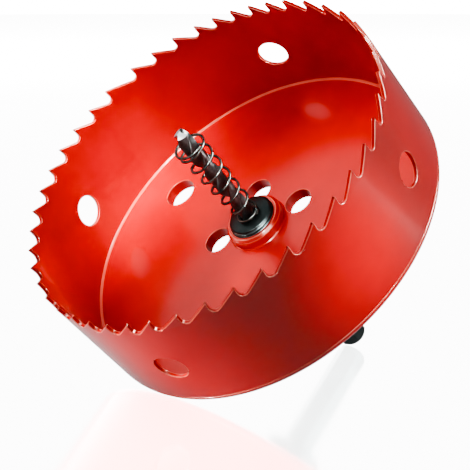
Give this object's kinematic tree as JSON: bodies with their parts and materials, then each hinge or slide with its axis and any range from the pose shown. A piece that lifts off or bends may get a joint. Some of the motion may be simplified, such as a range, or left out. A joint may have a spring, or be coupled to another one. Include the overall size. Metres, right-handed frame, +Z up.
{
  "type": "hole saw",
  "caption": "Large toothed steel cup saw on a threaded arbor with hexagonal shank, twist pilot drill and conical ejector spring, leaning on cap corner and shank end.",
  "frame": {"origin": "centre of the bounding box's foot, on the surface the saw rests on", "axes": "+Z up; the spindle leans towards -Y, teeth forward, in the plane X = 0; +X to the right seen from the open side"},
  "size_m": [0.1524, 0.1474, 0.1449],
  "materials": {
    "red_enamel": "glossy red enamel over steel",
    "black_oxide": "black oxide, satin",
    "drill_steel": "black oxide with a bright ground point",
    "spring_steel": "oiled dark spring wire"
  },
  "bodies": {
    "root": {"toothed_band": "red_enamel", "cap_plate": "red_enamel", "centre_boss": "red_enamel", "arbor_body": "black_oxide", "pilot_drill": "drill_steel", "ejector_spring": "spring_steel", "drill_set_screw": "black_oxide"}
  },
  "joints": []
}
